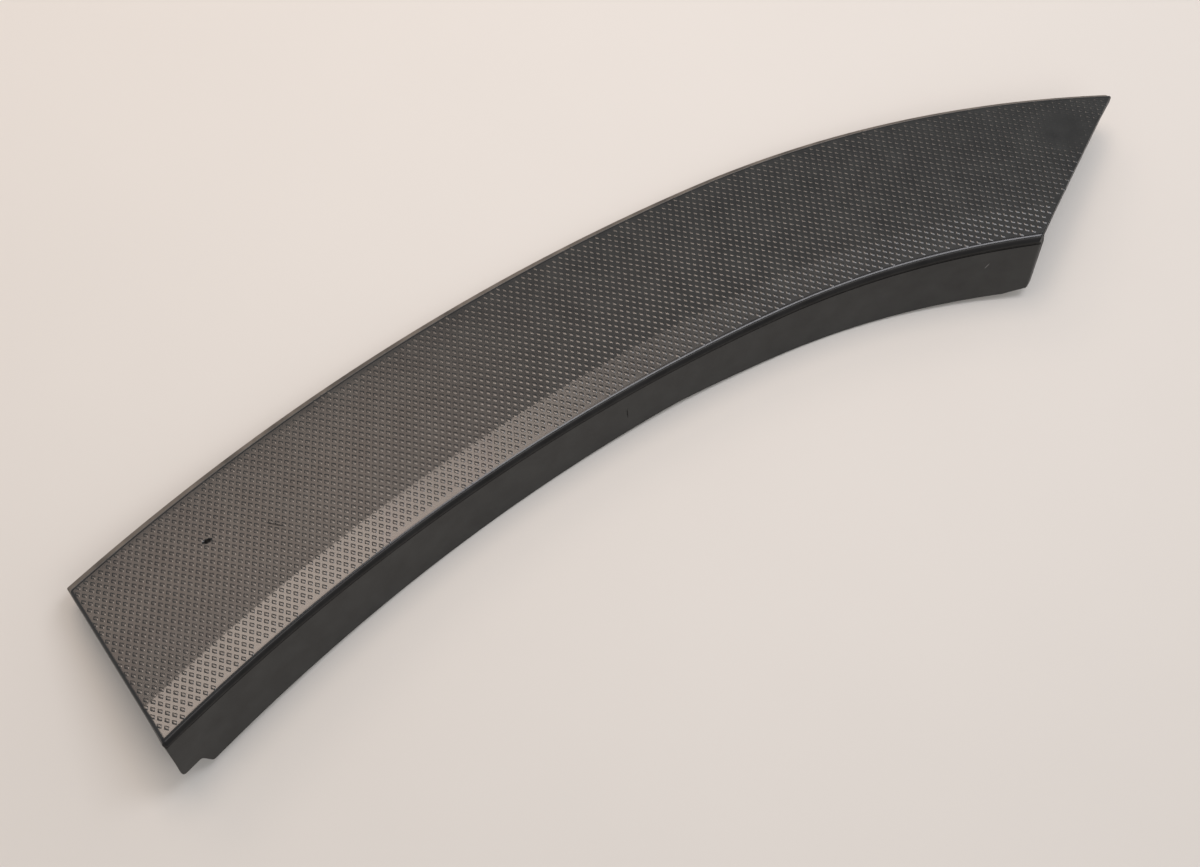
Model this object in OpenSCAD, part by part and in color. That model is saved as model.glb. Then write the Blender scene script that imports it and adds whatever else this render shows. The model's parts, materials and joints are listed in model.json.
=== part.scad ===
// Wheel arch trim: one injection-moulded piece, lying face up as it comes to rest.
// Its section is drawn once, x outward from the lower edge and y up through the face,
// and is swept along two arcs that meet on a common tangent.
// In the plan, that meeting point is the origin and the arcs' centres lie on -Y.

/* [Arch] */
// Radius of the lower edge along the long run
long_r = 555; // [480:5:700]
// Radius of the lower edge round the tight corner
tight_r = 252; // [220:2:320]
// Length of the long run, along the lower edge
long_len = 215; // [190:1:235]
// Length of the tight corner, along the lower edge
tight_len = 85; // [75:1:95]
// Lean of the left end's cut, away from the plan's Y axis
left_lean = 8; // [0:0.5:12]
// Lean of the right end's cut, away from the plan's Y axis
right_lean = 55; // [45:1:58]
// Plan radius on the pointed outer corner of the right end
tip_r = 1.7; // [1:0.1:3]

/* [Face] */
// Width of the face, from the lower edge to the outer edge
face_w = 52.4; // [48:0.2:60]
// Wall thickness of the face
face_t = 2.6; // [2:0.1:3.2]
// Radius of the slight crown across the main face
crown_r = 600; // [400:20:1500]
// Width of the lower facet, from the lower edge to the crease
crease_x = 10.5; // [8:0.1:14]
// Slope of the lower facet
facet_a = 7; // [4:0.5:10]
// Radius on the outer edge of the face
edge_r = 1.2; // [0.6:0.1:1.8]
// Wall thickness of the outer edge
edge_t = 2.2; // [1.8:0.1:3]

/* [Outer lip] */
// Drop from the top of the face to the lip
lip_drop = 3.6; // [3:0.1:5]
// Reach of the lip past the face
lip_out = 2.9; // [2:0.1:4]
// Thickness of the lip
lip_t = 1.1; // [0.8:0.1:1.6]

/* [Bead and flange] */
// Radius of the rolled bead along the lower edge
bead_r = 2; // [1.6:0.1:2.6]
// Overhang of the bead past the flange
bead_out = 0.8; // [0.4:0.1:1.2]
// Wall thickness of the flange where it leaves the bead
flange_t = 2.4; // [2:0.1:3]
// Wall thickness of the flange at its free edge
flange_tip_t = 1.9; // [1.5:0.1:2.2]
// Draft angle of the flange
draft = 5; // [2:0.5:8]
// Depth of the flange at its left corner, from the top of the face
depth_left = 27.7; // [25:0.1:32]
// Depth of the flange at its shallowest place
depth_mid = 21.4; // [19:0.1:24]
// Depth of the flange at its right corner
depth_right = 26.7; // [25:0.1:32]
// Distance of the shallowest place to the left of the arcs' meeting point
mid_back = 36; // [20:1:60]

/* [Left corner tab] */
// Depth of the tab beside the left end
tab_depth = 22.2; // [20:0.1:24]
// Width of the tab along the chord
tab_w = 6.4; // [5:0.1:10]
// Run of the slanted step between tab and flange
tab_step = 2.3; // [1.5:0.1:4]
// Radius on the corners of tab and step
tab_r = 1.2; // [0.6:0.1:2]

/* [Right corner] */
// Run of the short cut on the flange's right corner
chamfer_w = 9; // [6:0.5:14]
// Rise of that cut
chamfer_h = 1.6; // [0.8:0.1:3]

/* [Clip towers] */
// Distance of the towers and pegs from the lower edge
tower_x = 27; // [25:0.5:30]
// Distance of the first tower from the left end, along the lower edge
tower_first = 43; // [38:1:50]
// Spacing of the towers along the arch
tower_step = 96; // [80:1:100]
// Number of towers
tower_n = 3; // [2:1:3]
// Length of a tower along the arch
tower_l = 19; // [16:0.5:24]
// Width of a tower across the arch
tower_w = 14; // [12:0.5:16]
// Height of a tower under the face
tower_h = 6.5; // [5:0.5:7]
// Wall thickness of a tower
tower_t = 1.6; // [1.2:0.1:2]
// Width of the slot that takes a clip's neck
slot_w = 6.2; // [5:0.1:8]

/* [Locating pegs] */
// Diameter of a peg
peg_d = 5; // [4:0.1:6]
// Length of a peg's straight shank under the face
peg_h = 6; // [4:0.5:7]
// Length of the cone on a peg's tip
peg_tip = 1; // [0.5:0.1:1.5]

/* [Gusset ribs] */
// Distance of the first gusset from the left end, measured like the first tower's
gusset_first = 19; // [12:1:30]
// Spacing of the gussets along the arch
gusset_step = 32; // [24:1:36]
// Number of gussets
gusset_n = 8; // [4:1:8]
// Leg of a gusset along the face and down the flange
gusset_leg = 10; // [6:0.5:13]
// Thickness of a gusset
gusset_t = 1.5; // [1:0.1:2]

/* [Hidden] */
$fn = 96;
turn = 180 / PI;
far = 400;
// Depth by which a rib or tower runs into the wall that carries it
weld = 0.5;
// Length by which a cutting outline runs past the trim
over_run = 40;
// Angles by which the sweep runs past the foot of each end's cut
left_past = 6;
right_past = 14;
corner_steps = 5;
arc_steps = 12;
settle_steps = 12;
edge_samples = 60;

// Levels of the section, downwards from the highest point of the face at y = 0
crown_half = (face_w - crease_x) / 2;
crown_x = (face_w + crease_x) / 2;
crown_y = sqrt(pow(crown_r, 2) - pow(crown_half, 2)) - crown_r;
edge_y = sqrt(pow(crown_r, 2) - pow(crown_half - edge_r, 2)) - crown_r;
under_y = crown_y - face_t;
lip_y = -lip_drop - lip_t / 2;
lip_x = face_w + lip_out - lip_t / 2;
foot_y = -lip_drop - lip_t;
function facet_y(x) = crown_y - (crease_x - x) * tan(facet_a);
function under_facet_y(x) = facet_y(x) - face_t;
bead_x = bead_r - bead_out;
bead_y = facet_y(bead_x) - bead_r / cos(facet_a);
groove_y = bead_y - sqrt(pow(bead_r, 2) - pow(bead_x, 2));
full_depth = max(depth_left, depth_mid, depth_right) + 2;

// Offset of the flange's outer and inner face from the lower edge, at a depth below the face
function flange_out(d) = -(d + groove_y) * tan(draft);
function flange_in(d) = flange_out(d) + flange_t + (flange_tip_t - flange_t) * (d + groove_y) / (full_depth + groove_y);

// Plan point at a length s along the lower edge, and a distance off outside it
function arc_r(s) = s < 0 ? long_r : tight_r;
function arc_a(s) = s / arc_r(s) * turn;
function plan(s, off) = [(arc_r(s) + off) * sin(arc_a(s)), (arc_r(s) + off) * cos(arc_a(s)) - arc_r(s)];

// The two end cuts: a foot on the lower edge, and a direction
left_foot = plan(-long_len, 0);
left_dir = [-sin(left_lean), cos(left_lean)];
right_foot = plan(tight_len, 0);
right_dir = [sin(right_lean), cos(right_lean)];
// Where an end cut crosses a line at a distance off outside the lower edge
function cross_at(foot, dir, r, off) =
    let (v = foot + [0, r], b = v * dir)
    foot + dir * (sqrt(b * b - v * v + pow(r + off, 2)) - b);
function left_end(off) = cross_at(left_foot, left_dir, long_r, off);
function right_end(off) = cross_at(right_foot, right_dir, tight_r, off);

// Centre of the rounding on the right end's outer corner
tip_inset = [-cos(right_lean), sin(right_lean)] * tip_r;
tip_c = cross_at(right_foot + tip_inset, right_dir, tight_r, face_w + lip_out - tip_r);
tip_out = (tip_c + [0, tight_r]) / norm(tip_c + [0, tight_r]);

// Free edge of the flange, seen from the front: plan x against height
tab_x = left_foot[0] + tab_w;
corner_x = tab_x + tab_step;
cut_x = right_foot[0] - chamfer_w;
free_edge = [[tab_x, -tab_depth], [corner_x, -depth_left], [-mid_back, -depth_mid], [cut_x, -depth_right],
    [cut_x + over_run, -depth_right + over_run * chamfer_h / chamfer_w]];
// Round points for a corner at p between its neighbours
function corner(before, p, after, r) =
    let (u = (before - p) / norm(before - p), v = (after - p) / norm(after - p),
         half = acos(u * v) / 2, c = p + (u + v) / norm(u + v) * r / sin(half),
         a = p + u * r / tan(half) - c, b = p + v * r / tan(half) - c)
    [for (i = [0:corner_steps]) let (w = a * (1 - i / corner_steps) + b * i / corner_steps) c + w * r / norm(w)];

// The trim rests on three places: each run of the free edge, and the lip
function rise(p, z) = [p[0], p[1], z];
function between(a, b, n) = [for (i = [0:n]) a + (b - a) * i / n];
function foot(x) =
    let (z = lookup(x, free_edge), r = x < 0 ? long_r : tight_r)
    [x, sqrt(pow(r + flange_in(-z), 2) - x * x) - r, z];
left_run = [for (x = between(corner_x, -mid_back, edge_samples)) foot(x)];
right_run = [for (x = between(-mid_back, right_foot[0], edge_samples)) foot(x)];
function length_at(p, r) = atan2(p[0], p[1] + r) / turn * r;
lip_span = between(length_at(left_end(lip_x), long_r), length_at(tip_c, tight_r), edge_samples);
lip_run = [for (s = lip_span) rise(plan(s, lip_x), lip_y)];
// The point of a run that is lowest over a slope
function lowest(run, g) =
    let (heights = [for (p = run) p[2] - g * [p[0], p[1]]])
    run[search(min(heights), heights)[0]];
// Slope of the plane through three points
function slope(a, b, c) =
    let (u = b - a, v = c - a, det = u[0] * v[1] - u[1] * v[0])
    [u[2] * v[1] - v[2] * u[1], u[0] * v[2] - v[0] * u[2]] / det;
function under_lip(g) = lowest(lip_run, g) - lip_t / 2 * [-g[0], -g[1], 1] / norm([g[0], g[1], 1]);
function settle(g, n) = n == 0 ? g : settle(slope(lowest(left_run, g), lowest(right_run, g), under_lip(g)), n - 1);
ground = settle([0, 0.3], settle_steps);
tilt = atan(norm(ground));
tilt_axis = [-ground[1], ground[0], 0] / norm(ground);

// A point after the trim has settled, before it is centred
function settled(p) = p * cos(tilt) + cross(tilt_axis, p) * sin(tilt) + tilt_axis * (tilt_axis * p) * (1 - cos(tilt));
// Outermost places, which centre the trim
reach = [for (p = concat(
    [rise(left_end(face_w + lip_out), lip_y), rise(left_end(flange_out(tab_depth)), -tab_depth)],
    [for (s = lip_span) rise(plan(s, face_w + lip_out), lip_y)],
    [rise(tip_c + [tip_r, 0], foot_y)])) settled(p)];
function mid(i) = (max([for (p = reach) p[i]]) + min([for (p = reach) p[i]])) / 2;
centre = [mid(0), mid(1), settled(under_lip(ground))[2]];

// Points of an arc about c, from one angle to another
function arc(c, r, from, to) = [for (a = between(from, to, arc_steps)) c + r * [cos(a), sin(a)]];

module trim_section() {
    // Main face with its crown
    intersection() {
        polygon([[crease_x, 1], [face_w - edge_r, 1], [face_w - edge_r, under_y], [crease_x, under_y]]);
        translate([crown_x, -crown_r]) circle(r = crown_r, $fn = 720);
    }
    // Outer edge and lip
    polygon(concat(arc([face_w - edge_r, edge_y - edge_r], edge_r, 90, 0), [[face_w, -lip_drop]],
        arc([lip_x, lip_y], lip_t / 2, 90, -90), [[face_w - edge_t, foot_y], [face_w - edge_t, edge_y - edge_r]]));
    // Lower facet, rolled bead and return flange
    polygon(concat([[crease_x, crown_y]], arc([bead_x, bead_y], bead_r, 90 + facet_a, 180 + acos(bead_x / bead_r)),
        [[flange_out(full_depth), -full_depth], [flange_in(full_depth), -full_depth], [flange_t, groove_y],
        [flange_t, under_facet_y(flange_t)], [crease_x, under_y]]));
}

// The section swept along both arcs
module sweep() {
    translate([0, -long_r, 0])
        rotate_extrude(angle = left_past - arc_a(-long_len), start = 90, $fn = 360)
            translate([long_r, 0]) children();
    tight_sweep = arc_a(tight_len) + right_past;
    translate([0, -tight_r, 0])
        rotate_extrude(angle = tight_sweep, start = 90 - tight_sweep, $fn = 360)
            translate([tight_r, 0]) children();
}

// Plan outline between the two end cuts, with the rounded outer corner on the right
module ends() {
    translate([0, 0, -far / 2]) linear_extrude(far) difference() {
        polygon([left_foot - left_dir * over_run, left_foot + left_dir * (2 * face_w),
            right_foot + right_dir * (2 * face_w + over_run), right_foot - right_dir * over_run]);
        // Spare corner outside the tip's rounding
        difference() {
            polygon([tip_c, tip_c - 3 * tip_inset, tip_c + 8 * tip_r * right_dir, tip_c + 4 * tip_r * tip_out]);
            translate(tip_c) circle(r = tip_r);
        }
    }
}

// What is cut away under the flange's free edge
module flange_relief() {
    start = [left_foot[0] - over_run, -tab_depth];
    end = free_edge[len(free_edge) - 1];
    rotate([90, 0, 0]) linear_extrude(far, center = true) polygon(concat([start],
        corner(start, free_edge[0], free_edge[1], tab_r),
        corner(free_edge[0], free_edge[1], free_edge[2], tab_r),
        [free_edge[2], free_edge[3], end, [end[0], -far / 4], [start[0], -far / 4]]));
}

// Length along the lower edge at which the i-th tower stands
function tower_s(i) = tower_first - long_len + i * tower_step;

// Puts its children on the arch: X along it, Y outwards and Z up
module place(s, off) {
    translate(rise(plan(s, off), 0)) rotate(-arc_a(s)) children();
}

// Hollow tower, open at one end, with a slot in its floor for a clip's neck
module clip_tower() {
    difference() {
        translate([-tower_l / 2, -tower_w / 2, under_y - tower_h]) cube([tower_l, tower_w, tower_h + weld]);
        translate([-tower_l / 2 + tower_t, -tower_w / 2 + tower_t, under_y - tower_h + tower_t])
            cube([tower_l, tower_w - 2 * tower_t, tower_h - tower_t]);
        translate([0, 0, under_y - tower_h - 1]) cylinder(d = slot_w, h = tower_t + 2);
        translate([0, -slot_w / 2, under_y - tower_h - 1]) cube([tower_l, slot_w, tower_t + 2]);
    }
}

// Straight shank with a cone on its tip
module locating_peg() {
    shank_y = under_y - peg_h;
    rotate_extrude() polygon([[0, under_y + weld], [peg_d / 2, under_y + weld], [peg_d / 2, shank_y],
        [peg_d / 2 - peg_tip, shank_y - peg_tip], [0, shank_y - peg_tip]]);
}

// Triangular rib that braces the flange against the face
module gusset() {
    face_end = [flange_t + gusset_leg, under_y];
    flange_end = [flange_in(gusset_leg - groove_y), groove_y - gusset_leg];
    sunk_end = face_end + (face_end - flange_end) * weld / (face_end - flange_end)[1];
    rotate([90, 0, 90]) linear_extrude(gusset_t, center = true)
        polygon([[flange_t - weld, sunk_end[1]], sunk_end, flange_end, flange_end - [weld, 0]]);
}

module arch_trim() {
    color([0.26, 0.26, 0.27])
    translate(-centre) rotate(a = tilt, v = tilt_axis) {
        difference() {
            intersection() {
                sweep() trim_section();
                ends();
            }
            flange_relief();
        }
        for (i = [0:tower_n - 1]) place(tower_s(i), tower_x) clip_tower();
        // A locating peg stands halfway between each two towers
        for (i = [0:tower_n - 2]) place(tower_s(i + 0.5), tower_x) locating_peg();
        for (i = [0:gusset_n - 1]) place(gusset_first - long_len + i * gusset_step, 0) gusset();
    }
}

arch_trim();
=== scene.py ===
"""Wheel arch trim: a moulded trim lying face up on a pale table.

The shell is one section swept along two arcs, its back carries clip towers, locating pegs and gusset ribs,
and its face a lattice of raised pads. The stage is a table, soft lights and the camera.
"""

import json
import math

import bmesh
import bpy
import numpy as np
from bpy.props import FloatProperty, FloatVectorProperty, IntProperty, PointerProperty
from mathutils import Matrix, Vector


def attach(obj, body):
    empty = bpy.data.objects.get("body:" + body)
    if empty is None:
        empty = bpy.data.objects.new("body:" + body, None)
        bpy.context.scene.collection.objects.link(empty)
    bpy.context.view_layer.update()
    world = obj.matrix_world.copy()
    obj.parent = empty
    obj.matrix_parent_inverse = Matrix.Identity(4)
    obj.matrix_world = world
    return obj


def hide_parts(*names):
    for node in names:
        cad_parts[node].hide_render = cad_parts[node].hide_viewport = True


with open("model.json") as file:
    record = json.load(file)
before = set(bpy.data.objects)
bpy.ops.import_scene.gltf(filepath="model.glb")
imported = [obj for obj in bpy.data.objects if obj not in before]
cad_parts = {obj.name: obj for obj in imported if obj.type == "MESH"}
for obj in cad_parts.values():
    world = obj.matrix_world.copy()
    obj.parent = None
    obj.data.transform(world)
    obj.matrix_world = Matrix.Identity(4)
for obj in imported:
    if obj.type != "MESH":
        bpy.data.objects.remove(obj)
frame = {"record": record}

bl_info = {
    "name": "Wheel Arch Trim",
    "version": (1, 0, 0),
    "blender": (4, 5, 0),
    "location": "View3D > Sidebar > Arch Trim",
    "description": "Builds a moulded wheel arch trim with a grained face, and its table and lights",
    "category": "Add Mesh",
}

MM = 0.001


def srgb(hex_colour):
    """A hex colour as linear RGBA."""
    values = [int(hex_colour[i : i + 2], 16) / 255 for i in (1, 3, 5)]
    return [v / 12.92 if v <= 0.04045 else ((v + 0.055) / 1.055) ** 2.4 for v in values] + [1.0]


# Settings


def length(name, description, millimetres):
    """A length setting with its default in millimetres."""
    default = millimetres * MM
    return FloatProperty(name=name, description=description, default=default, unit="LENGTH", precision=5)


def degrees(name, description, value):
    """An angle setting with its default in degrees."""
    return FloatProperty(name=name, description=description, default=math.radians(value), subtype="ANGLE")


def fraction(name, description, default, most=1.0):
    """A setting from nothing up to the most that makes sense."""
    return FloatProperty(name=name, description=description, default=default, min=0, max=most)


def number(name, description, default, least):
    """A whole number of like features."""
    return IntProperty(name=name, description=description, default=default, min=least)


def colour(name, description, hex_colour):
    """A colour setting with its default in hex."""
    return FloatVectorProperty(
        name=name, description=description, default=srgb(hex_colour), size=4, subtype="COLOR", min=0, max=1
    )


class ArchSettings(bpy.types.PropertyGroup):
    """Plan of the arch and its section"""

    long_r: length("Long radius", "Radius of the lower edge along the long run", 555)
    tight_r: length("Tight radius", "Radius of the lower edge round the tight corner", 252)
    long_len: length("Long run", "Length of the long run along the lower edge", 215)
    tight_len: length("Tight run", "Length of the tight corner along the lower edge", 85)
    left_lean: degrees("Left lean", "Lean of the left end's cut", 8)
    right_lean: degrees("Right lean", "Lean of the right end's cut", 55)
    tip_r: length("Tip radius", "Plan radius on the pointed outer corner", 1.7)
    face_w: length("Face width", "Width of the face", 52.4)
    face_t: length("Face wall", "Wall thickness of the face", 2.6)
    crown_r: length("Crown radius", "Radius of the crown across the main face", 600)
    crease_x: length("Lower facet", "Width of the lower facet", 10.5)
    facet_a: degrees("Facet slope", "Slope of the lower facet", 7)
    edge_r: length("Edge radius", "Radius on the outer edge of the face", 1.2)
    edge_t: length("Edge wall", "Wall thickness of the outer edge", 2.2)
    lip_drop: length("Lip drop", "Drop from the top of the face to the lip", 3.6)
    lip_out: length("Lip reach", "Reach of the lip past the face", 2.9)
    lip_t: length("Lip thickness", "Thickness of the lip", 1.1)
    bead_r: length("Bead radius", "Radius of the rolled bead", 2)
    bead_out: length("Bead overhang", "Overhang of the bead past the flange", 0.8)
    flange_t: length("Flange wall", "Wall of the flange under the bead", 2.4)
    flange_tip_t: length("Flange edge", "Wall of the flange at its free edge", 1.9)
    draft: degrees("Draft", "Draft angle of the flange", 5)
    depth_left: length("Left depth", "Depth of the flange at its left corner", 27.7)
    depth_mid: length("Middle depth", "Depth of the flange at its shallowest place", 21.4)
    depth_right: length("Right depth", "Depth of the flange at its right corner", 26.7)
    mid_back: length("Shallowest place", "Distance from there to the arcs' meeting point", 36)
    tab_depth: length("Tab depth", "Depth of the tab beside the left end", 22.2)
    tab_w: length("Tab width", "Width of that tab", 6.4)
    tab_step: length("Tab step", "Run of the step between tab and flange", 2.3)
    tab_r: length("Tab radius", "Radius on the corners of tab and step", 1.2)
    chamfer_w: length("Corner run", "Run of the short cut on the right corner", 9)
    chamfer_h: length("Corner rise", "Rise of that cut", 1.6)
    left_r: length("Left end radius", "Radius on the shell's edges at the left end", 1.1)
    right_r: length("Right end radius", "Radius on the shell's edges at the right end", 0.5)
    corner_r: length("Corner radius", "Radius on the lower left corner of the flange", 1.3)
    tower_x: length("Tower offset", "Distance of towers and pegs from the lower edge", 27)
    tower_first: length("First tower", "Distance of the first tower from the left end", 43)
    tower_step: length("Tower step", "Spacing of the towers along the lower edge", 96)
    tower_n: number("Towers", "Number of clip towers", 3, 2)
    tower_l: length("Tower length", "Length of a tower along the arch", 19)
    tower_w: length("Tower width", "Width of a tower across the arch", 14)
    tower_h: length("Tower height", "Height of a tower under the face", 6.5)
    tower_t: length("Tower wall", "Wall thickness of a tower", 1.6)
    slot_w: length("Slot width", "Width of the slot that takes a clip's neck", 6.2)
    peg_d: length("Peg diameter", "Diameter of a locating peg", 5)
    peg_h: length("Peg length", "Length of a peg's shank", 6)
    peg_tip: length("Peg tip", "Length of the cone on a peg's tip", 1)
    gusset_first: length("First gusset", "Distance of the first gusset from the left end", 19)
    gusset_step: length("Gusset step", "Spacing of the gussets along the lower edge", 32)
    gusset_n: number("Gussets", "Number of gusset ribs", 8, 1)
    gusset_leg: length("Gusset leg", "Leg of a gusset along the face and down the flange", 10)
    gusset_t: length("Gusset thickness", "Thickness of a gusset", 1.5)


class GrainSettings(bpy.types.PropertyGroup):
    """Raised pads moulded over the face"""

    side: length("Pad spacing", "Side of a cell of the lattice", 2.0)
    row_a: degrees("Row angle", "Direction of the lattice's rows in the plan", -40.8)
    column_a: degrees("Column angle", "Direction of the lattice's columns in the plan", 65.8)
    row_w: length("Pad width", "Width of a pad along a row", 1.46)
    column_w: length("Pad length", "Length of a pad along a column", 1.26)
    height: length("Pad height", "Height of a pad over the face", 0.075)
    lean: fraction("Lean", "Share of its height that a pad loses towards its lower right", 0.3, 0.9)
    margin: length("Margin", "Least distance of a pad's middle from the edges of the grained area", 0.2)
    worn_s: length("Worn place", "Middle of the worn patch along the lower edge", 100)
    worn_off: length("Worn offset", "Distance of that middle from the lower edge", 39)
    worn_r: length("Worn radius", "Radius at which the worn patch has faded out", 11)
    worn_share: fraction("Worn share", "Share of their height that pads lose in the patch", 0.6)


class StageSettings(bpy.types.PropertyGroup):
    """Colours of the trim and the table"""

    plastic: colour("Plastic", "Black polypropylene", "#1b1c1b")
    bead: colour("Bead", "Polished black of the smooth bead and edges", "#101011")
    # Darker copy of the bead's black: painted shade on the bead's front
    front: colour("Bead's front", "Duller front of the bead", "#171717")
    # Near-black colour of painted shade on the bead's underside and in the groove under it
    groove: colour("Groove", "Shaded underside of the bead and the groove under it", "#080808")
    # The lip's paler colour is a painted reflection of the pale table on its edge
    lip: colour("Lip", "Paler, dusty lip", "#5c564f")
    table: colour("Table", "Warm white table top", "#d6d3ce")


GROUPS = {"arch_trim": ArchSettings, "arch_grain": GrainSettings, "arch_stage": StageSettings}


# Plan and section


class Arch:
    """Plan of the lower edge, in metres: two arcs that meet at the origin, with centres on -Y."""

    def __init__(self, size):
        self.size = size
        self.left_dir = np.array((-math.sin(size.left_lean), math.cos(size.left_lean)))
        self.right_dir = np.array((math.sin(size.right_lean), math.cos(size.right_lean)))
        self.left_foot = self.point(-size.long_len, 0)
        self.right_foot = self.point(size.tight_len, 0)
        self.left_inward = np.array((self.left_dir[1], -self.left_dir[0]))
        self.right_inward = np.array((-self.right_dir[1], self.right_dir[0]))
        inset = self.right_inward * size.tip_r
        far = size.face_w + size.lip_out - size.tip_r
        self.tip = self.cross(self.right_foot + inset, self.right_dir, size.tight_r, far)

    def radius(self, s):
        """Radius of the lower edge's arc that a length along it lies on."""
        return self.size.tight_r if s >= 0 else self.size.long_r

    def point(self, s, off):
        """Plan point at a length s along the lower edge and a distance off outside it."""
        r = self.radius(s)
        a = s / r
        return np.array(((r + off) * math.sin(a), (r + off) * math.cos(a) - r))

    def place(self, s, off):
        """Matrix that puts a shape on the arch: X along it, Y outwards and Z up."""
        turn = Matrix.Rotation(-s / self.radius(s), 4, "Z")
        return Matrix.Translation((*self.point(s, off), 0)) @ turn

    def tower_s(self, i):
        """Length along the lower edge of tower i; halves lie between two towers."""
        return self.size.tower_first - self.size.long_len + i * self.size.tower_step

    def cross(self, foot, direction, r, off):
        """Where an end cut crosses the line at a distance off outside the lower edge."""
        v = foot + (0, r)
        b = v @ direction
        return foot + direction * (math.sqrt(b * b - v @ v + (r + off) ** 2) - b)

    def length_at(self, p, r):
        """Length along the lower edge of a plan point on the arc of radius r."""
        return math.atan2(p[0], p[1] + r) * r

    def span(self, off):
        """First and last length along the lower edge of the line at a distance off."""
        size = self.size
        first = self.length_at(self.cross(self.left_foot, self.left_dir, size.long_r, off), size.long_r)
        last = self.cross(self.right_foot, self.right_dir, size.tight_r, off)
        touch = self.tip - self.right_inward * size.tip_r
        if (last - touch) @ self.right_dir > 0:
            # The line ends on the rounding of the pointed corner
            rho, away = size.tight_r + off, self.tip + (0, size.tight_r)
            d = math.hypot(*away)
            turn = math.acos(min(1, (rho**2 + d * d - size.tip_r**2) / (2 * rho * d)))
            return first, (math.atan2(away[0], away[1]) + turn) * size.tight_r
        return first, self.length_at(last, size.tight_r)

    def free_edge(self):
        """Plan x and depth of the flange's free edge, with rounded corners at the tab."""
        size = self.size
        tab_x = self.left_foot[0] + size.tab_w
        low_x = tab_x + size.tab_step
        cut_x = self.right_foot[0] - size.chamfer_w
        # The end's cut leans, so the flange's own corner lies a little to the right of its foot
        lean = 0.2 * MM
        start = (self.left_foot[0] + lean, size.tab_depth)
        tab, low = (tab_x, size.tab_depth), (low_x, size.depth_left)
        middle = (-size.mid_back, size.depth_mid)
        end = (cut_x + size.chamfer_w, size.depth_right - size.chamfer_h)
        points = [*rounded((start[0], 0), start, tab, size.corner_r)]
        points += [*rounded(start, tab, low, size.tab_r), *rounded(tab, low, middle, size.tab_r)]
        return np.array(points + [middle, (cut_x, size.depth_right), end])

    def pose(self, mounts):
        """The plan's pose in the frame, from where the frame holds the two locating pegs."""
        size = self.size
        named = {m["name"]: m for m in mounts}
        pegs = [named[f"locating_peg_{side}"] for side in ("left", "right")]
        under = Section(size).under_y - size.peg_h / 2
        # A peg stands halfway between each two towers
        here = [Vector((*self.point(self.tower_s(i + 0.5), size.tower_x), under)) for i in (0, 1)]
        there = [Vector(p["pos_m"]) for p in pegs]

        def basis(up, along):
            """Axes with Z up and X along a line."""
            up = up.normalized()
            along = (along - up * along.dot(up)).normalized()
            return Matrix((along, up.cross(along), up)).transposed()

        before = basis(Vector((0, 0, 1)), here[1] - here[0])
        turn = basis(-Vector(pegs[0]["axis"]), there[1] - there[0]) @ before.transposed()
        shift = (there[0] + there[1]) / 2 - turn @ ((here[0] + here[1]) / 2)
        return Matrix.Translation(shift) @ turn.to_4x4()


def rounded(before, corner, after, r, steps=6):
    """Points of a rounding of radius r at a corner."""
    before, corner, after = (np.array(p) for p in (before, corner, after))
    u = (before - corner) / np.linalg.norm(before - corner)
    v = (after - corner) / np.linalg.norm(after - corner)
    half = math.acos(u @ v) / 2
    centre = corner + (u + v) / np.linalg.norm(u + v) * r / math.sin(half)
    first = corner + u * r / math.tan(half) - centre
    last = corner + v * r / math.tan(half) - centre
    blends = [first * (1 - i / steps) + last * i / steps for i in range(steps + 1)]
    return [tuple(centre + w * r / np.linalg.norm(w)) for w in blends]


def arc(centre, r, start, end, steps):
    """Points of an arc from one angle to another."""
    x, y = centre
    return [(x + r * math.cos(a), y + r * math.sin(a)) for a in np.linspace(start, end, steps + 1)]


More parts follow.
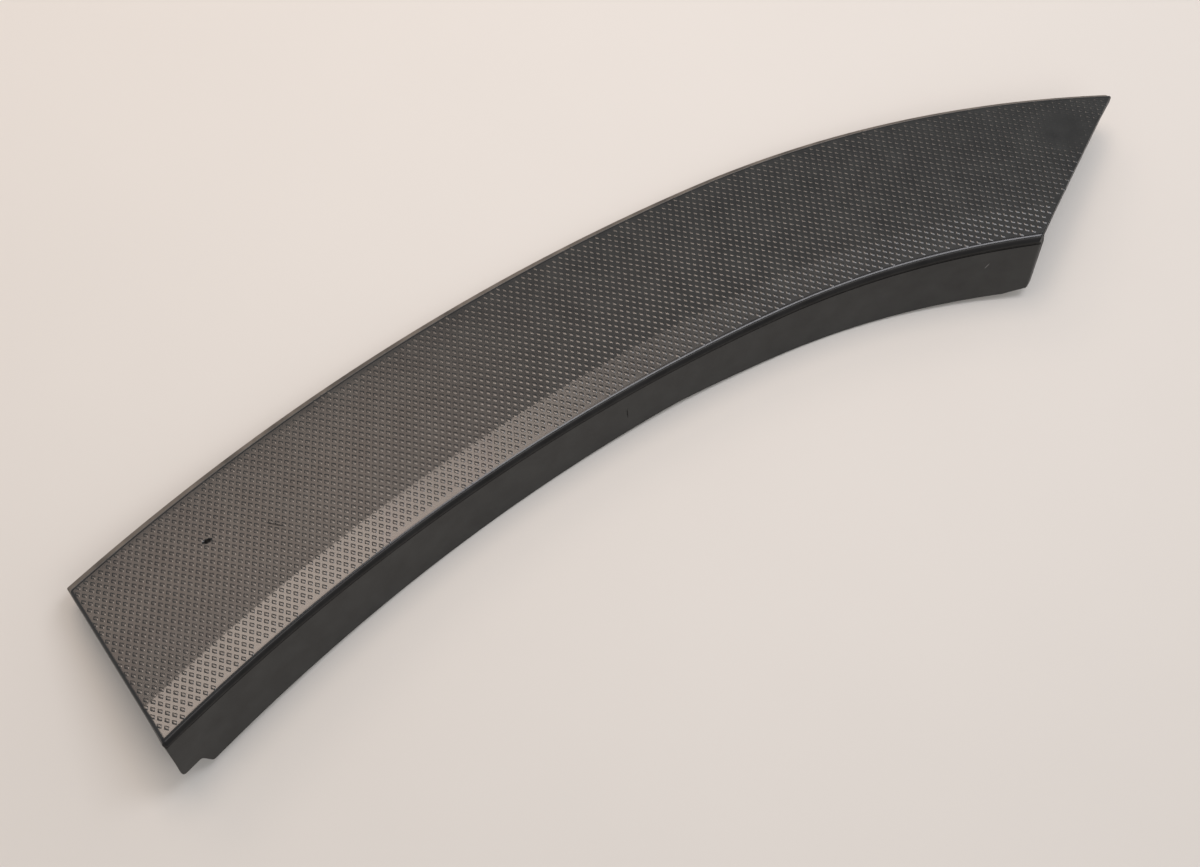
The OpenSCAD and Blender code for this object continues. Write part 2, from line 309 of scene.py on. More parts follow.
class Section:
    """Section across the arch: x outward from the lower edge, y up, with the top of the face at y = 0."""

    def __init__(self, size):
        self.size = size
        self.crown_mid = (size.face_w + size.crease_x) / 2
        self.crown_y = self.crown(size.crease_x)
        self.under_y = self.crown_y - size.face_t
        self.bead_x = size.bead_r - size.bead_out
        self.bead_y = self.facet(self.bead_x) - size.bead_r / math.cos(size.facet_a)
        self.groove_y = self.bead_y - math.sqrt(size.bead_r**2 - self.bead_x**2)
        # The flange's wall tapers down to a depth a little past its deepest corner
        past = 2 * MM
        self.full_depth = max(size.depth_left, size.depth_mid, size.depth_right) + past

    def crown(self, x):
        """Height of the main face."""
        return math.sqrt(self.size.crown_r**2 - (x - self.crown_mid) ** 2) - self.size.crown_r

    def facet(self, x):
        """Height of the lower facet."""
        return self.crown_y - (self.size.crease_x - x) * math.tan(self.size.facet_a)

    def flange_out(self, depth):
        """Distance of the flange's outer side from the lower edge."""
        return -(depth + self.groove_y) * math.tan(self.size.draft)

    def flange_in(self, depth):
        """Distance of its inner side."""
        size = self.size
        share = (depth + self.groove_y) / (self.full_depth + self.groove_y)
        return self.flange_out(depth) + size.flange_t + (size.flange_tip_t - size.flange_t) * share

    def top(self):
        """Outer chain from the groove over bead, facet and face to the lip's underside, by finish."""
        size = self.size
        # The bead's steps: its underside and its front carry painted shade, darkest on the underside, and its
        # top is polished
        shaded, dull, steps = 8, 17, 22
        bead = arc((self.bead_x, self.bead_y), size.bead_r, math.pi + math.acos(self.bead_x / size.bead_r),
                   math.pi / 2 + size.facet_a, steps)
        start = bead[-1][0]
        # Close rows beside the bead and the crease keep the shading even up to them
        soft = 0.2 * MM
        facet = [(x, self.facet(x)) for x in (start + soft, *np.linspace(start, size.crease_x, 6)[1:-1])]
        crease = [(x, self.facet(x)) for x in (size.crease_x - 2 * soft, size.crease_x - soft)]
        eased = 0.2 * soft * math.tan(size.facet_a)
        crease.append((size.crease_x, self.crown_y - eased))
        crease += [(x, self.crown(x)) for x in (size.crease_x + soft, size.crease_x + 2 * soft)]
        face = [(x, self.crown(x)) for x in np.linspace(size.crease_x, size.face_w - size.edge_r, 22)[1:-1]]
        edge_y = self.crown(size.face_w - size.edge_r)
        edge = arc((size.face_w - size.edge_r, edge_y - size.edge_r), size.edge_r, math.pi / 2, 0, 8)
        lip_x, lip_y = size.face_w + size.lip_out - size.lip_t / 2, -size.lip_drop - size.lip_t / 2
        corner = 0.3 * MM
        inner = arc((size.face_w + corner, -size.lip_drop + corner), corner, math.pi, 1.5 * math.pi, 4)
        lip = arc((lip_x, lip_y), size.lip_t / 2, math.pi / 2, -math.pi / 2, 8)
        return [("groove", bead[:shaded]), ("front", bead[shaded:dull]), ("bead", bead[dull:]),
                ("face", facet + crease + face), ("bead", edge), ("lip", inner + lip)]

    def under(self):
        """Inner chain from the lip back to the flange's root."""
        size = self.size
        wall = size.face_w - size.edge_t
        foot = -size.lip_drop - size.lip_t
        flat = [(x, self.under_y) for x in np.linspace(wall, size.crease_x, 10)]
        root = [(size.flange_t, self.facet(size.flange_t) - size.face_t), (size.flange_t, self.groove_y)]
        return [(wall, foot)] + flat + root


# Finishes of the moulded plastic

# Each has its colour's setting, roughness and IOR. Bare polypropylene has an IOR of 1.49, and the values are
# matched to the object from there.
FINISHES = {
    # Satin face that mirrors the lamps softly
    "face": ("plastic", 0.24, 1.62),
    # Polished bead and outer edge with a crisp bright line
    "bead": ("bead", 0.2, 1.53),
    # Front of the bead, a near-black band of painted shade: a duller, darker copy of the bead's plastic
    "front": ("front", 0.5, 1.3),
    # Painted shade: a near-black copy of the plastic, with almost no reflection, on the bead's underside and
    # in the groove under it
    "groove": ("groove", 0.6, 1.2),
    # Matt flange and hidden side of the shell
    "flange": ("plastic", 0.5, 1.5),
    # Lip, paler than the rest: a painted reflection of the pale table along its edge
    "lip": ("lip", 0.5, 1.5),
}
# The pads are as satin as the face, and the features under it are plain from the mould
GRAIN_FINISH = ("plastic", 0.24, 1.62)
BACK_FINISH = ("plastic", 0.45, 1.5)
FINISH_ORDER = tuple(FINISHES)


# Meshes


def stations(arch, off, first, last):
    """Lengths along the arch at which a line is sampled: dense at both ends, where edges are rounded."""
    size = arch.size
    # Close steps reach over the tab on the left, and over the end's edge alone on the right
    step, reach, right_steps, inner_steps = 0.35 * MM, 15 * MM, 12, 250
    rounding = 1 - np.cos(np.linspace(0, math.pi / 2, 7))
    near = np.arange(step, reach, step)
    left = np.concatenate((size.left_r * rounding, size.left_r + near))
    left = left * size.long_r / (size.long_r + off)
    right = np.concatenate((size.right_r * rounding, size.right_r + near[:right_steps]))
    right = right * size.tight_r / (size.tight_r + off)
    inner = np.linspace(first + left[-1], last - right[-1], inner_steps)[1:-1]
    return np.concatenate((first + left, inner, (last - right)[::-1]))


def from_ends(arch, p):
    """Distances of a plan point from the left cut, and from the right one or its corner's rounding."""
    left = (p - arch.left_foot) @ arch.left_inward
    right = (p - arch.right_foot) @ arch.right_inward
    away = p - arch.tip
    if away @ arch.right_dir > 0 and away @ arch.right_inward < 0:
        right = arch.size.tip_r - math.hypot(*away)
    return left, right


def end_drop(arch, p, share):
    """How far a rounded end edge lies under the surface at a plan point, for a share of the ends' radii."""
    drops = []
    for d, r in zip(from_ends(arch, p), (arch.size.left_r * share, arch.size.right_r * share)):
        d = min(max(d, 0), r)
        drops.append(r - math.sqrt(max(r * r - (r - d) ** 2, 0)))
    return max(drops)


def shell_mesh(size):
    """The swept shell in the plan's frame, with each point's distance inside the grained area."""
    arch, section = Arch(size), Section(size)
    edge = arch.free_edge()
    top, under = [p for _, part in section.top() for p in part], section.under()
    # The groove's painted shade ends on a row close under it, at a small share of the flange's depth
    flange_steps, groove_end = 10, 0.03
    # Shares of the ends' radii on the flange and the lip, and the share that stays free of pads
    flange_share, lip_share, smooth_share = 0.5, 0.3, 0.8
    rows = [("out", v) for v in (*np.linspace(1, 0, flange_steps, endpoint=False), groove_end)]
    rows += [("top", i) for i in range(len(top))] + [("under", i) for i in range(len(under))]
    rows += [("in", v) for v in np.linspace(0, 1, flange_steps + 1)[1:]]
    finishes = ["flange"] * flange_steps + ["groove"] + [name for name, part in section.top() for _ in part]
    finishes += ["flange"] * (len(rows) - len(finishes))
    normals = chain_normals(top)
    grid, zones = [], []
    for kind, at in rows:
        if kind in ("out", "in"):
            reach = section.flange_out if kind == "out" else section.flange_in
            off = reach(size.depth_mid * at)
        else:
            off = (top if kind == "top" else under)[at][0]
        line, zone = [], []
        for s in stations(arch, off, *arch.span(off)):
            p = arch.point(s, off)
            inside = -1.0
            if kind in ("out", "in"):
                free = np.interp(p[0], edge[:, 0], edge[:, 1])
                depth = -section.groove_y + (free + section.groove_y) * at
                p = arch.point(s, reach(depth))
                drop = end_drop(arch, p, flange_share) if kind == "out" else 0
                p = arch.point(s, reach(depth) + drop)
                z = -depth
            elif kind == "top":
                drop = end_drop(arch, p, 1 if off <= size.face_w else lip_share)
                nx, ny = normals[at]
                p = arch.point(s, off - nx * drop)
                z = top[at][1] - ny * drop
                left, right = from_ends(arch, p)
                ends = min(left - smooth_share * size.left_r, right - smooth_share * size.right_r)
                inside = min(off - section.bead_x, size.face_w - size.edge_r - off, ends)
            else:
                z = under[at][1]
            line.append((p[0], p[1], z))
            zone.append(inside)
        grid.append(line)
        zones.append(zone)
    return grid_mesh("arch_trim_shell", grid, zones, [FINISH_ORDER.index(f) for f in finishes])


def chain_normals(chain):
    """Outward normals of the outer chain, which runs from the flange to the lip."""
    points = np.array(chain)
    along = np.gradient(points, axis=0)
    along /= np.linalg.norm(along, axis=1)[:, None]
    return np.stack((-along[:, 1], along[:, 0]), axis=1)


def grid_mesh(name, grid, zones, finishes):
    """A closed tube from rows of points, with capped ends, the zones as grain_zone and rows' finishes."""
    points = np.array(grid)
    n_rows, n_cols = points.shape[:2]
    faces = []
    for i in range(n_rows):
        for k in range(n_cols - 1):
            j = (i + 1) % n_rows
            faces.append((i * n_cols + k, j * n_cols + k, j * n_cols + k + 1, i * n_cols + k + 1))
    faces.append([i * n_cols for i in range(n_rows)][::-1])
    faces.append([i * n_cols + n_cols - 1 for i in range(n_rows)])
    mesh = bpy.data.meshes.new(name)
    mesh.from_pydata(points.reshape(-1, 3).tolist(), [], faces)
    zone = mesh.attributes.new("grain_zone", "FLOAT", "POINT")
    zone.data.foreach_set("value", np.array(zones, np.float32).ravel())
    for p in mesh.polygons:
        row = p.index // (n_cols - 1)
        p.material_index = finishes[row] if row < n_rows else FINISH_ORDER.index("flange")
    clean(mesh)
    return mesh


def clean(mesh):
    """Outward normals, and smooth shading up to sharp edges."""
    same, sharp = 1e-7, math.radians(32)
    bm = bmesh.new()
    bm.from_mesh(mesh)
    bmesh.ops.remove_doubles(bm, verts=bm.verts, dist=same)
    bmesh.ops.recalc_face_normals(bm, faces=bm.faces)
    bm.to_mesh(mesh)
    bm.free()
    mesh.shade_smooth()
    mesh.set_sharp_from_angle(angle=sharp)


def pad_mesh(grain):
    """One pad: a rounded rhombus, highest at its upper left, whose rim runs down into the face."""
    row = Vector((math.cos(grain.row_a), math.sin(grain.row_a))) * grain.row_w / 2
    column = Vector((math.cos(grain.column_a), math.sin(grain.column_a))) * grain.column_w / 2
    # The rim is sunk in the face, its corners are drawn in, and the power sets how steep the sides are
    sunk, corner, steep = 0.02 * MM, 0.86, 5
    bm = bmesh.new()
    grid = []
    for v in (-1, -0.78, 0.1, 0.8, 1):
        line = []
        for u in (-1, -0.82, -0.4, 0.4, 0.8, 1):
            rim = max(abs(u), abs(v)) == 1
            lean = 1 - grain.lean * (2 + u - v) / 4
            height = grain.height * lean * (1 - abs(u) ** steep) * (1 - abs(v) ** steep)
            p = (row * u + column * v) * (corner if abs(u) == abs(v) == 1 else 1)
            line.append(bm.verts.new((p.x, p.y, -sunk if rim else height)))
        grid.append(line)
    for lower, upper in zip(grid, grid[1:]):
        for i in range(len(lower) - 1):
            bm.faces.new((lower[i], lower[i + 1], upper[i + 1], upper[i]))
    mesh = bpy.data.meshes.new("grain_pad")
    bm.to_mesh(mesh)
    bm.free()
    mesh.shade_smooth()
    return mesh


def prism(bm, outline, low, high, matrix):
    """Extrudes an outline in its own XY plane from low to high, and moves it by a matrix."""
    ends = [[bm.verts.new(matrix @ Vector((x, y, z))) for x, y in outline] for z in (low, high)]
    bm.faces.new(ends[0][::-1])
    bm.faces.new(ends[1])
    for i in range(len(outline)):
        j = (i + 1) % len(outline)
        bm.faces.new((ends[0][i], ends[0][j], ends[1][j], ends[1][i]))


def clip_tower(bm, size, under, matrix):
    """Hollow tower, open at one end, with a slot in its floor for a clip's neck."""
    x, y, t = size.tower_l / 2, size.tower_w / 2, size.tower_t
    slot = arc((0, 0), size.slot_w / 2, 0.5 * math.pi, 1.5 * math.pi, 12)
    right, left = size.slot_w / 2, -size.slot_w / 2
    floor = [(x, right), *slot, (x, left), (x, -y), (-x, -y), (-x, y), (x, y)]
    walls = [(x, y), (-x, y), (-x, -y), (x, -y), (x, t - y), (t - x, t - y), (t - x, y - t), (x, y - t)]
    low = under - size.tower_h
    prism(bm, floor, low, low + t, matrix)
    prism(bm, walls, low + t, under, matrix)


def locating_peg(bm, size, under, matrix):
    """Straight shank with a cone on its tip."""
    steps = 40
    shank = under - size.peg_h
    radius = size.peg_d / 2
    levels = [(under, radius), (shank, radius), (shank - size.peg_tip, radius - size.peg_tip)]
    rings = []
    for z, r in levels:
        ring = arc((0, 0), r, 0, 2 * math.pi, steps)[:-1]
        rings.append([bm.verts.new(matrix @ Vector((x, y, z))) for x, y in ring])
    for upper, lower in zip(rings, rings[1:]):
        for i in range(steps):
            j = (i + 1) % steps
            bm.faces.new((upper[i], upper[j], lower[j], lower[i]))
    bm.faces.new(rings[0])
    bm.faces.new(rings[-1][::-1])


def gusset(bm, size, section, matrix):
    """Triangular rib that braces the flange against the face."""
    depth = size.gusset_leg - section.groove_y
    outline = [(size.flange_t, section.under_y), (size.flange_t + size.gusset_leg, section.under_y),
               (section.flange_in(depth), -depth)]
    # Stands the outline across the arch, with its thickness along it
    turn = Matrix(((0, 0, 1, 0), (1, 0, 0, 0), (0, 1, 0, 0), (0, 0, 0, 1)))
    prism(bm, outline, -size.gusset_t / 2, size.gusset_t / 2, matrix @ turn)


def back_mesh(size):
    """Clip towers, locating pegs and gusset ribs under the face, in the plan's frame."""
    arch, section = Arch(size), Section(size)
    bm = bmesh.new()
    for i in range(size.tower_n):
        clip_tower(bm, size, section.under_y, arch.place(arch.tower_s(i), size.tower_x))
    for i in range(size.tower_n - 1):
        locating_peg(bm, size, section.under_y, arch.place(arch.tower_s(i + 0.5), size.tower_x))
    for i in range(size.gusset_n):
        gusset(bm, size, section, arch.place(size.gusset_first - size.long_len + i * size.gusset_step, 0))
    mesh = bpy.data.meshes.new("arch_trim_back")
    bm.to_mesh(mesh)
    bm.free()
    clean(mesh)
    return mesh


def mark_places(mesh, size):
    """Stores each vertex's length along the lower edge, distance outside it and height, as arch_place."""
    points = np.empty(len(mesh.vertices) * 3, np.float32)
    mesh.vertices.foreach_get("co", points)
    x, y, z = points.reshape(-1, 3).astype(float).T
    r = np.where(x < 0, size.long_r, size.tight_r)
    places = np.stack((np.arctan2(x, y + r) * r, np.hypot(x, y + r) - r, z), axis=1)
    attribute = mesh.attributes.new("arch_place", "FLOAT_VECTOR", "POINT")
    attribute.data.foreach_set("vector", places.astype(np.float32).ravel())


# Node helpers and materials


def add(tree, kind, values=None, **settings):
    """A node with its settings, and its inputs set to values or linked to sockets."""
    node = tree.nodes.new(kind)
    for name, value in settings.items():
        setattr(node, name, value)
    for key, value in (values or {}).items():
        if isinstance(value, bpy.types.NodeSocket):
            tree.links.new(value, node.inputs[key])
        else:
            node.inputs[key].default_value = value
    return node


def new_material(name):
    """A material with its node tree and its shader."""
    material = bpy.data.materials.new(name)
    material.use_nodes = True
    tree = material.node_tree
    tree.nodes.clear()
    shader = add(tree, "ShaderNodeBsdfPrincipled")
    output = add(tree, "ShaderNodeOutputMaterial", {"Surface": shader.outputs[0]})
    output.location = (300, 0)
    return material, tree, shader


def dimmed(base, factor):
    """A colour made darker or paler by a factor."""
    return [c * factor for c in base[:3]] + [1]


# Marks from use, each with its strength, middle, half spans and turn. Middle and spans run along the lower
# edge, outside it and in height, in mm, and the turn is in degrees.
DENT = (0.9, (-170.0, 35.6, 0.0), (1.5, 0.8, 3.0), (0, 0, 20))
SCRATCH = (0.35, (-154.3, 26.4, 0.0), (0.25, 2.9, 3.0), (0, 0, -32))
SLIT = (0.7, (-53.5, -0.7, -13.2), (0.25, 2.0, 2.6), (0, 0, 0))
RUB = (0.9, (69.1, -0.6, -11.8), (0.18, 2.0, 1.4), (0, -35, 0))


def mark(tree, place, strength, at, span, turn):
    """Mask of a soft-edged oval: full strength in its middle and nothing beyond its half spans."""
    middle, half, angles = [v * MM for v in at], [v * MM for v in span], [math.radians(a) for a in turn]
    away = add(tree, "ShaderNodeVectorMath", {0: place, 1: middle}, operation="SUBTRACT")
    turned = add(tree, "ShaderNodeVectorRotate", {"Vector": away.outputs[0], "Rotation": angles},
                 rotation_type="EULER_XYZ")
    scaled = add(tree, "ShaderNodeVectorMath", {0: turned.outputs[0], 1: half}, operation="DIVIDE")
    reach = add(tree, "ShaderNodeVectorMath", {0: scaled.outputs[0]}, operation="LENGTH")
    fade = add(tree, "ShaderNodeMapRange", {"Value": reach.outputs["Value"], "From Min": 1.0, "From Max": 0.5,
                                            "To Max": strength})
    return fade.outputs[0]


def moulded_polypropylene(name, look, tone, roughness, ior):
    """Black polypropylene, injection moulded: a dull satin with a fine spark-eroded bloom."""
    base = getattr(look, tone)
    material, tree, shader = new_material(name)
    place = add(tree, "ShaderNodeTexCoord").outputs["Object"]
    # Bloom of the mould's surface: 0.25 mm across, drawn as 0.35 mm so that it shows
    bloom = add(tree, "ShaderNodeTexNoise", {"Vector": place, "Scale": 1 / (0.35 * MM), "Detail": 2.0})
    bump = add(tree, "ShaderNodeBump", {"Height": bloom.outputs[0], "Strength": 0.25, "Distance": 0.02 * MM})
    # Uneven gloss where the trim has been handled, in patches of about 30 mm
    patches = add(tree, "ShaderNodeTexNoise", {"Vector": place, "Scale": 1 / (30 * MM), "Detail": 3.0})
    uneven = 0.05
    gloss = add(tree, "ShaderNodeMapRange", {"Value": patches.outputs[0], "To Min": roughness - uneven,
                                             "To Max": roughness + uneven})
    # Dust and wipe marks: faint clouds of about 7 mm
    clouds = add(tree, "ShaderNodeTexNoise", {"Vector": place, "Scale": 1 / (7 * MM), "Detail": 6.0})
    spots = add(tree, "ShaderNodeMapRange", {"Value": clouds.outputs[0], "From Min": 0.25, "From Max": 0.75})
    dust = add(tree, "ShaderNodeMix", {"Factor": spots.outputs[0], "A": dimmed(base, 0.4),
                                       "B": dimmed(base, 1.6)}, data_type="RGBA")
    # Marks from use: a dent and a short scratch on the face, a slit and a rubbed scratch on the flange
    on_arch = add(tree, "ShaderNodeAttribute", {}, attribute_name="arch_place").outputs["Vector"]
    cuts = [mark(tree, on_arch, *cut) for cut in (DENT, SCRATCH, SLIT)]
    dark = cuts[0]
    for cut in cuts[1:]:
        dark = add(tree, "ShaderNodeMath", {0: dark, 1: cut}, operation="MAXIMUM").outputs[0]
    rubbed = mark(tree, on_arch, *RUB)
    # The dark marks are painted near black: painted shade in the hollows of the dent and the slit, and a
    # darker line along the scratch
    shade = add(tree, "ShaderNodeMix", {"Factor": dark, "A": dust.outputs["Result"], "B": srgb("#050505")},
                data_type="RGBA")
    paint = add(tree, "ShaderNodeMix", {"Factor": rubbed, "A": shade.outputs["Result"], "B": srgb("#7c7a78")},
                data_type="RGBA")
    # The plain plastic has the default specular level, and the dark marks are dull, which deepens their
    # painted shade
    sheen = add(tree, "ShaderNodeMapRange", {"Value": dark, "To Min": 0.5, "To Max": 0.0})
    hollow = add(tree, "ShaderNodeBump", {"Height": dark, "Strength": 1.0, "Distance": 0.3 * MM,
                                          "Normal": bump.outputs[0]}, invert=True)
    tree.links.new(gloss.outputs[0], shader.inputs["Roughness"])
    tree.links.new(hollow.outputs[0], shader.inputs["Normal"])
    tree.links.new(paint.outputs["Result"], shader.inputs["Base Color"])
    tree.links.new(sheen.outputs[0], shader.inputs["Specular IOR Level"])
    shader.inputs["IOR"].default_value = ior
    return material


def table_top(base):
    """Laminate table top, pressed: pale, matt and even, with faint clouds of about 60 mm."""
    material, tree, shader = new_material("laminate_pressed")
    place = add(tree, "ShaderNodeTexCoord").outputs["Object"]
    cloud = add(tree, "ShaderNodeTexNoise", {"Vector": place, "Scale": 1 / (60 * MM), "Detail": 4.0})
    tint = add(tree, "ShaderNodeMix", {"Factor": cloud.outputs[0], "A": base, "B": dimmed(base, 0.97)},
               data_type="RGBA")
    tree.links.new(tint.outputs["Result"], shader.inputs["Base Color"])
    shader.inputs["Roughness"].default_value = 0.6
    return material


def grain_tree():
    """Pads on a lattice: points over the plan are dropped on the face's grained area and given a pad."""
    tree = bpy.data.node_groups.new("Grain Pads", "GeometryNodeTree")
    face = tree.interface
    inputs = {"Shell": "Geometry", "Row": "Vector", "Column": "Vector", "Margin": "Float",
              "Worn Place": "Vector", "Worn Radius": "Float", "Worn Share": "Float",
              "Rows": "Int", "Columns": "Int", "Pad": "Object", "Material": "Material"}
    for name, kind in inputs.items():
        face.new_socket(name, in_out="INPUT", socket_type=f"NodeSocket{kind}")
    face.new_socket("Pads", in_out="OUTPUT", socket_type="NodeSocketGeometry")
    ins = add(tree, "NodeGroupInput").outputs

    # A grid with 1 m cells, whose corners count rows and columns from its middle
    wide, high = [add(tree, "ShaderNodeMath", {0: ins[name], 1: 1.0}, operation="SUBTRACT").outputs[0]
                  for name in ("Columns", "Rows")]
    grid = add(tree, "GeometryNodeMeshGrid", {"Size X": wide, "Size Y": high, "Vertices X": ins["Columns"],
                                              "Vertices Y": ins["Rows"]})
    count = add(tree, "ShaderNodeSeparateXYZ", {0: add(tree, "GeometryNodeInputPosition").outputs[0]})
    along, across = [add(tree, "ShaderNodeVectorMath", {0: ins[name], "Scale": count.outputs[axis]},
                         operation="SCALE").outputs[0] for name, axis in (("Row", "X"), ("Column", "Y"))]
    # The points start above the face and are cast down as far again below the plan
    above = 0.05
    spot = add(tree, "ShaderNodeVectorMath", {0: along, 1: across}, operation="ADD").outputs[0]
    over = add(tree, "ShaderNodeVectorMath", {0: spot, 1: (0, 0, above)}, operation="ADD").outputs[0]
    lattice = add(tree, "GeometryNodeSetPosition", {"Geometry": grid.outputs["Mesh"], "Position": over})
    drop = add(tree, "GeometryNodeRaycast", {"Target Geometry": ins["Shell"], "Ray Direction": (0, 0, -1),
                                             "Ray Length": 2 * above}, data_type="FLOAT")
    zone = add(tree, "GeometryNodeInputNamedAttribute", {"Name": "grain_zone"}, data_type="FLOAT")
    tree.links.new(zone.outputs["Attribute"], drop.inputs["Attribute"])
    outside = add(tree, "FunctionNodeCompare", {"A": drop.outputs["Attribute"], "B": ins["Margin"]},
                  data_type="FLOAT", operation="LESS_THAN")
    # The hit's normal is stored first, because moving the points would change a later cast
    hit = add(tree, "GeometryNodeStoreNamedAttribute",
              {"Geometry": lattice.outputs[0], "Name": "up", "Value": drop.outputs["Hit Normal"]},
              data_type="FLOAT_VECTOR", domain="POINT")
    kept = add(tree, "GeometryNodeDeleteGeometry",
               {"Geometry": hit.outputs[0], "Selection": outside.outputs[0]}, domain="POINT")
    placed = add(tree, "GeometryNodeSetPosition", {"Geometry": kept.outputs[0],
                                                   "Position": drop.outputs["Hit Position"]})
    up = add(tree, "GeometryNodeInputNamedAttribute", {"Name": "up"}, data_type="FLOAT_VECTOR")
    lean = add(tree, "FunctionNodeAlignRotationToVector", {"Vector": up.outputs["Attribute"]}, axis="Z")
    pads = add(tree, "GeometryNodeObjectInfo", {"Object": ins["Pad"]})
    # Pads lose height towards the worn patch's core, which is worn evenly
    core = 0.3
    here = add(tree, "GeometryNodeInputPosition").outputs[0]
    away = add(tree, "ShaderNodeVectorMath", {0: here, 1: ins["Worn Place"]}, operation="DISTANCE")
    share = add(tree, "ShaderNodeMath", {0: away.outputs["Value"], 1: ins["Worn Radius"]}, operation="DIVIDE")
    left = add(tree, "ShaderNodeMath", {0: 1.0, 1: ins["Worn Share"]}, operation="SUBTRACT")
    fade = add(tree, "ShaderNodeMapRange", {"Value": share.outputs[0], "From Min": core,
                                            "To Min": left.outputs[0], "To Max": 1.0},
               interpolation_type="SMOOTHSTEP")
    size = add(tree, "ShaderNodeCombineXYZ", {"X": 1.0, "Y": 1.0, "Z": fade.outputs[0]})
    spread = add(tree, "GeometryNodeInstanceOnPoints",
                 {"Points": placed.outputs[0], "Instance": pads.outputs["Geometry"],
                  "Rotation": lean.outputs[0], "Scale": size.outputs[0]})
    real = add(tree, "GeometryNodeRealizeInstances", {"Geometry": spread.outputs[0]})
    done = add(tree, "GeometryNodeSetMaterial", {"Geometry": real.outputs[0], "Material": ins["Material"]})
    add(tree, "NodeGroupOutput", {"Pads": done.outputs[0]})
    return tree


def set_inputs(modifier, values):
    """Sets a Geometry Nodes modifier's inputs by their names."""
    for item in modifier.node_group.interface.items_tree:
        if item.item_type == "SOCKET" and item.in_out == "INPUT" and item.name in values:
            modifier[item.identifier] = values[item.name]


# Operators


def show(name, mesh):
    """Links a mesh to the scene as an object."""
    piece = bpy.data.objects.new(name, mesh)
    bpy.context.scene.collection.objects.link(piece)
    return piece


def into_frame(mesh, size):
    """Moves a mesh from the plan's frame to the row's, and keeps its places on the arch."""
    mark_places(mesh, size)
    mesh.transform(Arch(size).pose(frame["record"]["mounts"]))
    mesh.update()


class MESH_OT_arch_trim_shell(bpy.types.Operator):
    """Builds the swept shell of the trim"""

    bl_idname = "mesh.arch_trim_shell"
    bl_label = "Trim Shell"

    def execute(self, context):
        size, look = context.scene.arch_trim, context.scene.arch_stage
        mesh = shell_mesh(size)
        into_frame(mesh, size)
        for name, finish in FINISHES.items():
            mesh.materials.append(moulded_polypropylene(f"polypropylene_moulded_{name}", look, *finish))
        piece = show("arch_trim_shell", mesh)
        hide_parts("arch_trim")
        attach(piece, "root")
        return {"FINISHED"}


class MESH_OT_arch_trim_grain(bpy.types.Operator):
    """Spreads the moulded grain over the face"""

    bl_idname = "mesh.arch_trim_grain"
    bl_label = "Face Grain"

    def execute(self, context):
        size, grain = context.scene.arch_trim, context.scene.arch_grain
        look = context.scene.arch_stage
        pad = show("grain_pad", pad_mesh(grain))
        shell = show("grain_target", shell_mesh(size))
        modifier = shell.modifiers.new("Grain", "NODES")
        modifier.node_group = grain_tree()
        row = Vector((math.cos(grain.row_a), math.sin(grain.row_a), 0)) * grain.side
        column = Vector((math.cos(grain.column_a), math.sin(grain.column_a), 0)) * grain.side
        # The lattice's axes lean, so it counts further out than the arch reaches
        count = 2 * int(1.3 * (size.long_len + size.face_w) / grain.side)
        worn = (*Arch(size).point(grain.worn_s, grain.worn_off), 0)
        plastic = moulded_polypropylene("polypropylene_moulded_grain", look, *GRAIN_FINISH)
        set_inputs(modifier, {
            "Row": row, "Column": column, "Rows": count, "Columns": count, "Margin": grain.margin,
            "Worn Place": worn, "Worn Radius": grain.worn_r, "Worn Share": grain.worn_share,
            "Pad": pad, "Material": plastic,
        })
        context.view_layer.update()
        done = shell.evaluated_get(context.evaluated_depsgraph_get())
        mesh = bpy.data.meshes.new_from_object(done)
        mesh.name = "arch_trim_grain"
        shell.modifiers.remove(modifier)
        for spare in (shell, pad):
            bpy.data.objects.remove(spare)
        if not mesh.polygons:
            raise RuntimeError("no pad landed on the face")
        into_frame(mesh, size)
        piece = show("arch_trim_grain", mesh)
        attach(piece, "root")
        return {"FINISHED"}


class MESH_OT_arch_trim_back(bpy.types.Operator):
    """Builds the clip towers, locating pegs and gusset ribs under the face"""

    bl_idname = "mesh.arch_trim_back"
    bl_label = "Back Features"

    def execute(self, context):
        size, look = context.scene.arch_trim, context.scene.arch_stage
        mesh = back_mesh(size)
        into_frame(mesh, size)
        mesh.materials.append(moulded_polypropylene("polypropylene_moulded_back", look, *BACK_FINISH))
        piece = show("arch_trim_back", mesh)
        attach(piece, "root")
        return {"FINISHED"}


class SCENE_OT_arch_stage(bpy.types.Operator):
    """Adds the table, the soft lights and the camera"""

    bl_idname = "scene.arch_stage"
    bl_label = "Table, Lights and Camera"

    def execute(self, context):
        look = context.scene.arch_stage
        table = bpy.data.meshes.new("table")
        half = 3.0
        corners = [(-half, -half, 0), (half, -half, 0), (half, half, 0), (-half, half, 0)]
        table.from_pydata(corners, [], [(0, 1, 2, 3)])
        table.materials.append(table_top(look.table))
        floor = show("table", table)
        # Long ceiling panel beyond the trim, which brightens the lower facet's left half
        area("panel", (-0.03, 0.54, 1.0), (0.5, 0.4), 4.7, "#ffeada")
        # Window beyond it, which lifts the face's left end
        area("window", (-0.2, 1.2, 1.0), (0.7, 0.6), 3.3, "#ffe3cf")
        # Lamp right of the camera, which draws the bright line on the bead
        area("lamp", (0.22, 0.09, 0.6), (0.34, 0.2), 1.3, "#fbfaff")
        # Wide light on the camera's side, which lifts the flange and softens the shadows
        area("fill", (0.1, -0.6, 0.9), (0.9, 0.6), 1.9, "#fff8f2")
        # The room's even light
        world = bpy.data.worlds.new("room")
        world.use_nodes = True
        sky = world.node_tree.nodes["Background"]
        sky.inputs["Color"].default_value = srgb("#f2f2f4")
        sky.inputs["Strength"].default_value = 0.52
        context.scene.world = world
        camera()
        context.scene.view_settings.view_transform = "Standard"
        return {"FINISHED"}


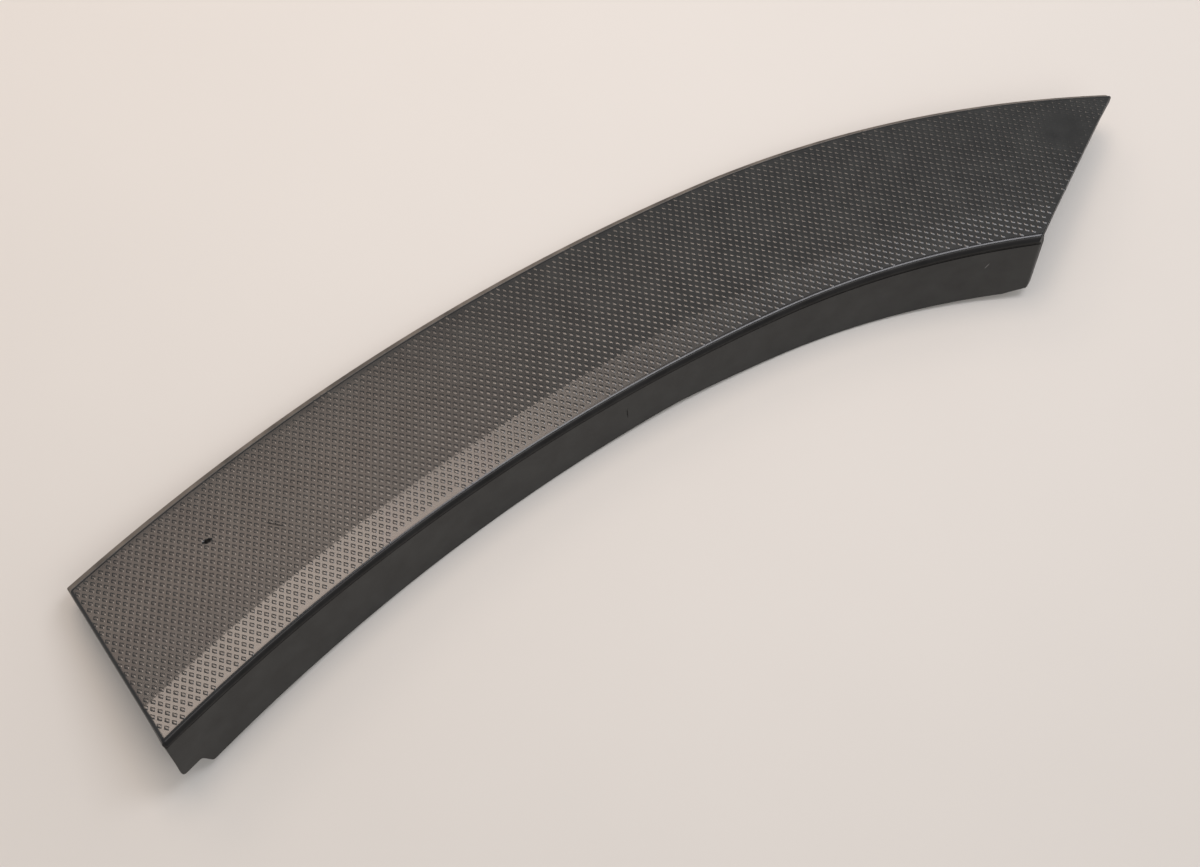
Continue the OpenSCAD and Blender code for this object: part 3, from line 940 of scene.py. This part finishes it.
def area(name, place, size, power, hex_colour):
    """A rectangular area light that faces down, with its size in metres and its power in watts."""
    light = bpy.data.lights.new(name, "AREA")
    light.shape = "RECTANGLE"
    light.size, light.size_y = size
    light.energy, light.color = power, srgb(hex_colour)[:3]
    lamp = bpy.data.objects.new(name, light)
    lamp.location = place
    bpy.context.scene.collection.objects.link(lamp)


def camera():
    """Camera held over the table: 53 cm away and leaning 17 degrees off the vertical."""
    lens = bpy.data.cameras.new("camera")
    lens.lens, lens.sensor_width = 52.5, 36
    eye = bpy.data.objects.new("camera", lens)
    eye.location = (-0.14401, -0.10229, 0.49847)
    eye.rotation_euler = [math.radians(a) for a in (15.415, -7.924, -26.646)]
    bpy.context.scene.collection.objects.link(eye)
    bpy.context.scene.camera = eye


# Panel and registration


class VIEW3D_PT_arch_trim(bpy.types.Panel):
    """Lists the trim's sizes and the buttons that build it"""

    bl_idname = "VIEW3D_PT_arch_trim"
    bl_label = "Wheel Arch Trim"
    bl_space_type = "VIEW_3D"
    bl_region_type = "UI"
    bl_category = "Arch Trim"

    def draw(self, context):
        for group in GROUPS:
            box = self.layout.box()
            for name in getattr(context.scene, group).__annotations__:
                box.prop(getattr(context.scene, group), name)
        for operator in OPERATORS:
            self.layout.operator(operator.bl_idname)


OPERATORS = (MESH_OT_arch_trim_shell, MESH_OT_arch_trim_grain, MESH_OT_arch_trim_back, SCENE_OT_arch_stage)
CLASSES = (*GROUPS.values(), *OPERATORS, VIEW3D_PT_arch_trim)


def register():
    """Registers the classes and gives the scene its settings."""
    for cls in CLASSES:
        bpy.utils.register_class(cls)
    for name, group in GROUPS.items():
        setattr(bpy.types.Scene, name, PointerProperty(type=group))


def unregister():
    """Takes the settings and the classes away again."""
    for name in GROUPS:
        delattr(bpy.types.Scene, name)
    for cls in reversed(CLASSES):
        bpy.utils.unregister_class(cls)


def main():
    """Builds every piece and the stage."""
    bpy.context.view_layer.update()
    register()
    bpy.ops.mesh.arch_trim_shell()
    bpy.ops.mesh.arch_trim_grain()
    bpy.ops.mesh.arch_trim_back()
    bpy.ops.scene.arch_stage()


if __name__ == "__main__":
    main()
